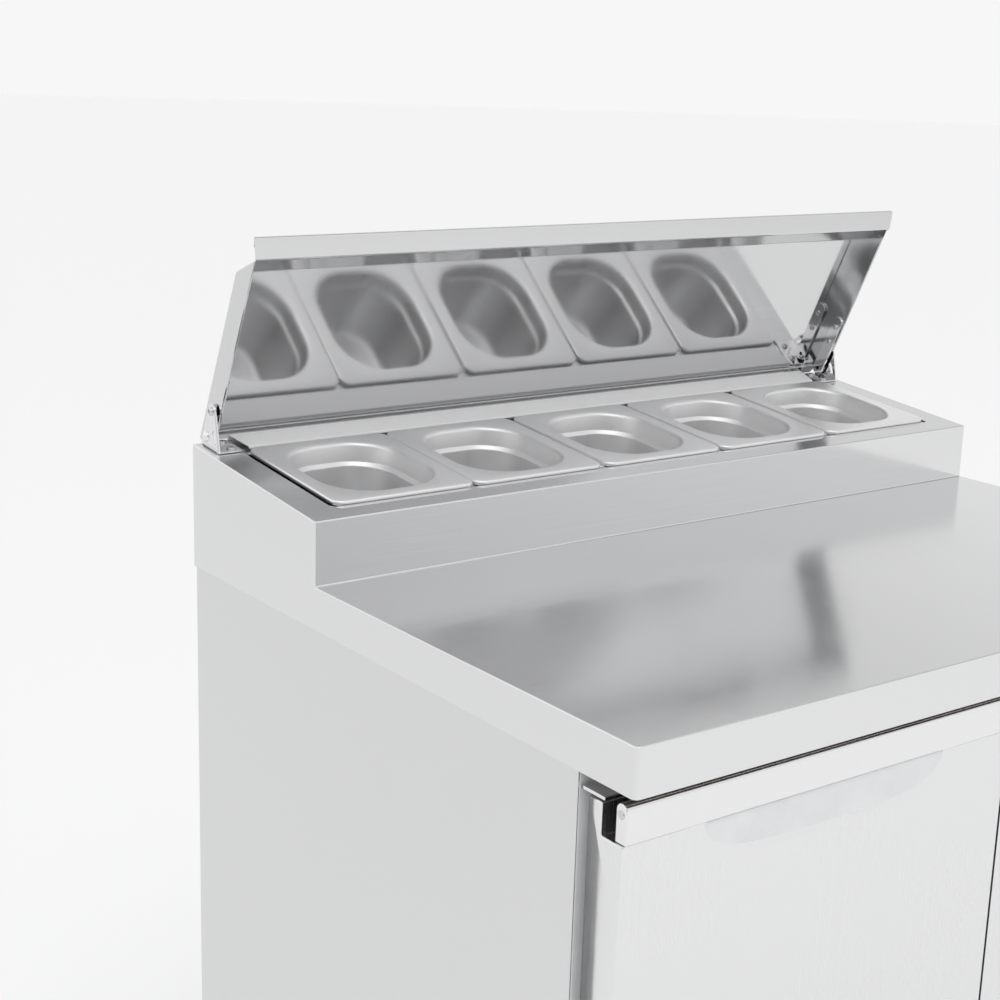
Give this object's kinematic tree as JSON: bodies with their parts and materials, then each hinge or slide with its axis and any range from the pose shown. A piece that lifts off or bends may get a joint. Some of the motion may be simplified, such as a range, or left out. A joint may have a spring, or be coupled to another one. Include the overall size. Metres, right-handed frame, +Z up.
{
  "type": "sandwich prep table",
  "caption": "Refrigerated two-door prep table in brushed steel with a worktop, a raised sloping pan rail and a hinged rail lid standing open.",
  "frame": {"origin": "on the floor, under the centre of the whole object's box, with the lid open", "axes": "+Z up, the front with the doors faces -Y, +X to the right seen from the front"},
  "size_m": [0.9, 0.7088, 1.1555],
  "materials": {
    "worktop_steel": "satin",
    "lid_steel": "satin",
    "cabinet_steel": "satin",
    "door_steel": "satin",
    "back_steel": "matte",
    "pan_steel": "satin",
    "hinge_chrome": "polished",
    "shelf_wire": "satin",
    "foot_steel": "satin",
    "liner_metal": "satin",
    "frame_plastic": "satin",
    "door_core": "satin",
    "foam": "matte",
    "board": "matte",
    "gasket_rubber": "matte",
    "black_plastic": "satin",
    "fan_plastic": "satin",
    "tray_plastic": "matte",
    "switch_plastic": "gloss",
    "button_plastic": "satin",
    "compressor_paint": "satin",
    "coil_aluminium": "satin"
  },
  "bodies": {
    "cabinet": {"worktop": "worktop_steel", "worktop_board": "board", "rear_strip": "worktop_steel", "pan_ledge": "cabinet_steel", "pan_divider_1": "cabinet_steel", "pan_divider_2": "cabinet_steel", "pan_divider_3": "cabinet_steel", "pan_divider_4": "cabinet_steel", "hinge_bracket_left": "hinge_chrome", "hinge_bracket_right": "hinge_chrome", "side_panel_left": "cabinet_steel", "side_panel_right": "cabinet_steel", "back_panel": "back_steel", "cord_gland": "black_plastic", "base_tray": "back_steel", "insulation": "foam", "liner": "liner_metal", "door_frame": "frame_plastic", "shelf_bar_front": "shelf_wire", "shelf_bar_rear": "shelf_wire", "door_left_bracket_upper": "hinge_chrome", "door_left_bracket_lower": "hinge_chrome", "door_right_bracket_upper": "hinge_chrome", "door_right_bracket_lower": "hinge_chrome", "front_grille": "cabinet_steel", "controller": "black_plastic", "switch_housing": "black_plastic", "compressor": "compressor_paint", "condenser_coil": "coil_aluminium", "condenser_shroud": "black_plastic", "evaporator_cover": "liner_metal", "evaporator_coil": "coil_aluminium", "condensate_tray": "tray_plastic"},
    "lid": {"lid": "lid_steel", "lid_arm_left": "hinge_chrome", "lid_arm_right": "hinge_chrome"},
    "pan_1": {"pan_1": "pan_steel"},
    "pan_2": {"pan_2": "pan_steel"},
    "pan_3": {"pan_3": "pan_steel"},
    "pan_4": {"pan_4": "pan_steel"},
    "pan_5": {"pan_5": "pan_steel"},
    "door_left": {"door_left_skin": "door_steel", "door_left_core": "door_core", "door_left_gasket": "gasket_rubber", "door_left_pull": "door_steel"},
    "door_right": {"door_right_skin": "door_steel", "door_right_core": "door_core", "door_right_gasket": "gasket_rubber", "door_right_pull": "door_steel"},
    "shelf_left": {"shelf_left": "shelf_wire"},
    "shelf_right": {"shelf_right": "shelf_wire"},
    "condenser_fan": {"condenser_fan": "fan_plastic"},
    "evaporator_fan": {"evaporator_fan": "fan_plastic"},
    "button_up": {"button_up": "button_plastic"},
    "button_down": {"button_down": "button_plastic"},
    "switch_rocker": {"switch_rocker": "switch_plastic"},
    "foot_front_left": {"foot_front_left": "foot_steel"},
    "foot_front_right": {"foot_front_right": "foot_steel"},
    "foot_rear_left": {"foot_rear_left": "foot_steel"},
    "foot_rear_right": {"foot_rear_right": "foot_steel"}
  },
  "joints": [
    {"name": "lid_hinge", "type": "hinge", "parent": "cabinet", "child": "lid", "pos_m": [0, 0.33163, 0.9468], "axis": [-1, 0, 0], "range_deg": [-71, 0]},
    {"name": "pan_1_lift", "type": "slide", "parent": "cabinet", "child": "pan_1", "axis": [0, -0.1019, 0.9948], "range_m": [0, 0.1]},
    {"name": "pan_2_lift", "type": "slide", "parent": "cabinet", "child": "pan_2", "axis": [0, -0.1019, 0.9948], "range_m": [0, 0.1]},
    {"name": "pan_3_lift", "type": "slide", "parent": "cabinet", "child": "pan_3", "axis": [0, -0.1019, 0.9948], "range_m": [0, 0.1]},
    {"name": "pan_4_lift", "type": "slide", "parent": "cabinet", "child": "pan_4", "axis": [0, -0.1019, 0.9948], "range_m": [0, 0.1]},
    {"name": "pan_5_lift", "type": "slide", "parent": "cabinet", "child": "pan_5", "axis": [0, -0.1019, 0.9948], "range_m": [0, 0.1]},
    {"name": "door_left_hinge", "type": "hinge", "parent": "cabinet", "child": "door_left", "pos_m": [-0.43, -0.30588, 0.517], "axis": [0, 0, -1], "range_deg": [0, 100], "stiffness_Nm_per_rad": 1, "springref_deg": -20.05},
    {"name": "door_right_hinge", "type": "hinge", "parent": "cabinet", "child": "door_right", "pos_m": [0.43, -0.30588, 0.517], "axis": [0, 0, 1], "range_deg": [0, 100], "stiffness_Nm_per_rad": 1, "springref_deg": -20.05},
    {"name": "shelf_left_lift", "type": "slide", "parent": "cabinet", "child": "shelf_left", "axis": [0, 0, 1], "range_m": [0, 0.05]},
    {"name": "shelf_right_lift", "type": "slide", "parent": "cabinet", "child": "shelf_right", "axis": [0, 0, 1], "range_m": [0, 0.05]},
    {"name": "condenser_fan_spin", "type": "hinge", "parent": "cabinet", "child": "condenser_fan", "pos_m": [-0.175, -0.13, 0.156], "axis": [0, 1, 0], "continuous": true},
    {"name": "evaporator_fan_spin", "type": "hinge", "parent": "cabinet", "child": "evaporator_fan", "pos_m": [0, 0.25472, 0.684], "axis": [0, 1, 0], "continuous": true},
    {"name": "button_up_press", "type": "slide", "parent": "cabinet", "child": "button_up", "axis": [0, 1, 0], "range_m": [0, 0.001], "stiffness_N_per_m": 300},
    {"name": "button_down_press", "type": "slide", "parent": "cabinet", "child": "button_down", "axis": [0, 1, 0], "range_m": [0, 0.001], "stiffness_N_per_m": 300},
    {"name": "switch_rocker_tilt", "type": "hinge", "parent": "cabinet", "child": "switch_rocker", "pos_m": [0.31, -0.33587, 0.155], "axis": [-1, 0, 0], "range_deg": [-10, 10]},
    {"name": "foot_front_left_travel", "type": "slide", "parent": "cabinet", "child": "foot_front_left", "axis": [0, 0, -1], "range_m": [0, 0.02]},
    {"name": "foot_front_right_travel", "type": "slide", "parent": "cabinet", "child": "foot_front_right", "axis": [0, 0, -1], "range_m": [0, 0.02]},
    {"name": "foot_rear_left_travel", "type": "slide", "parent": "cabinet", "child": "foot_rear_left", "axis": [0, 0, -1], "range_m": [0, 0.02]},
    {"name": "foot_rear_right_travel", "type": "slide", "parent": "cabinet", "child": "foot_rear_right", "axis": [0, 0, -1], "range_m": [0, 0.02]}
  ]
}
